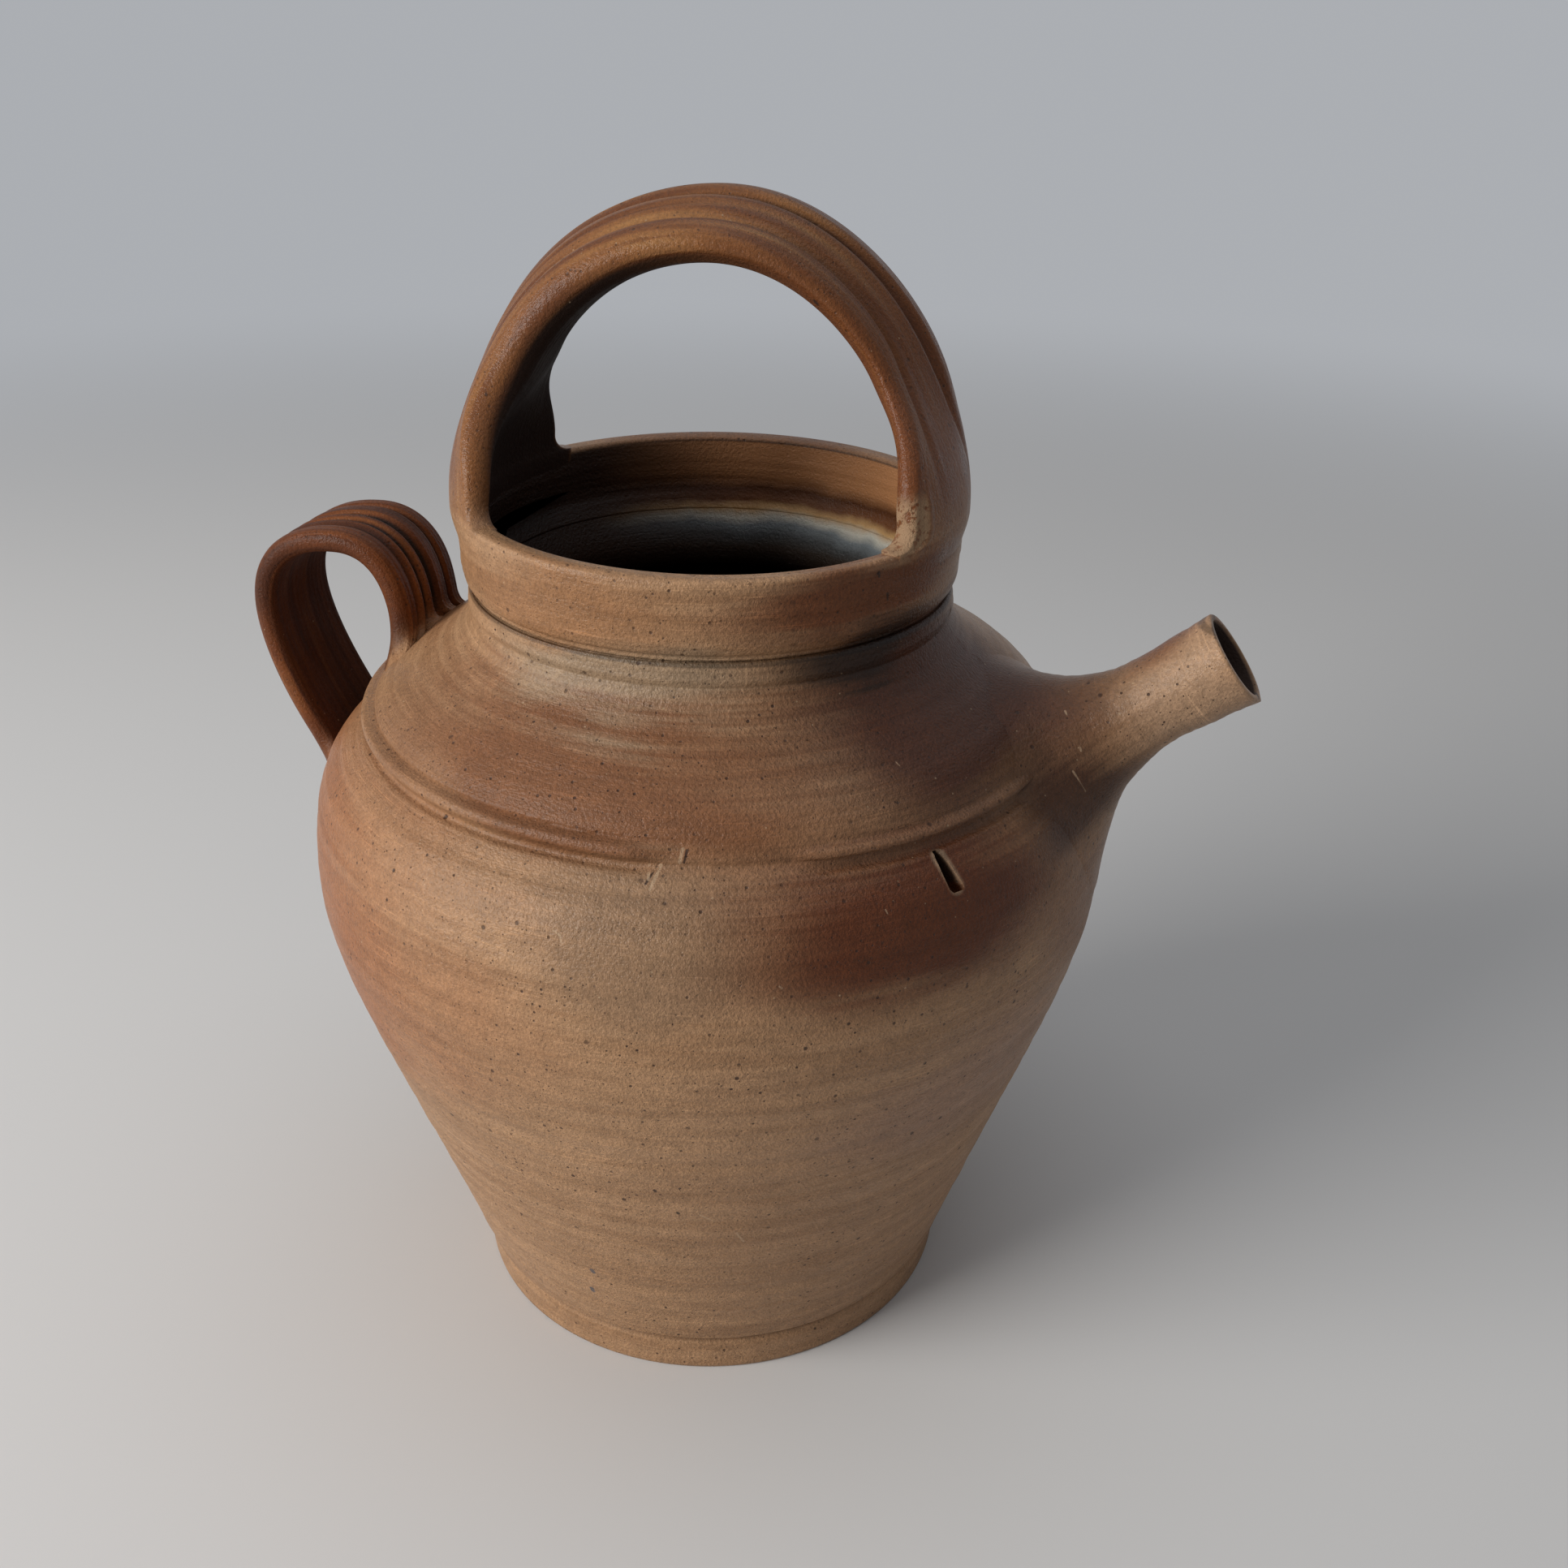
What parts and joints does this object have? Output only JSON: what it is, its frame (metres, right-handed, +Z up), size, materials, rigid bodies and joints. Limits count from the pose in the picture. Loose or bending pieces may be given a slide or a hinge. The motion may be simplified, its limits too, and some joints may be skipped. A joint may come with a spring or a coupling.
{
  "type": "stoneware water jug",
  "caption": "Wheel-thrown stoneware water jug with a trumpet spout, a bail handle over the open mouth and a ribbed side handle",
  "frame": {"origin": "centre of the flat underside of the foot", "axes": "+Z up, +X from the pot's axis towards the spout, -X towards the side handle"},
  "size_m": [0.2431, 0.195, 0.278],
  "materials": {
    "toasted_stoneware": "satin salt glaze, orange peel",
    "collar_stoneware": "satin salt glaze",
    "dark_glazed_stoneware": "dark glossy brown salt glaze"
  },
  "bodies": {
    "root": {"body": "toasted_stoneware", "collar": "collar_stoneware", "spout": "toasted_stoneware", "bail_handle": "dark_glazed_stoneware", "side_handle": "dark_glazed_stoneware"}
  },
  "joints": []
}
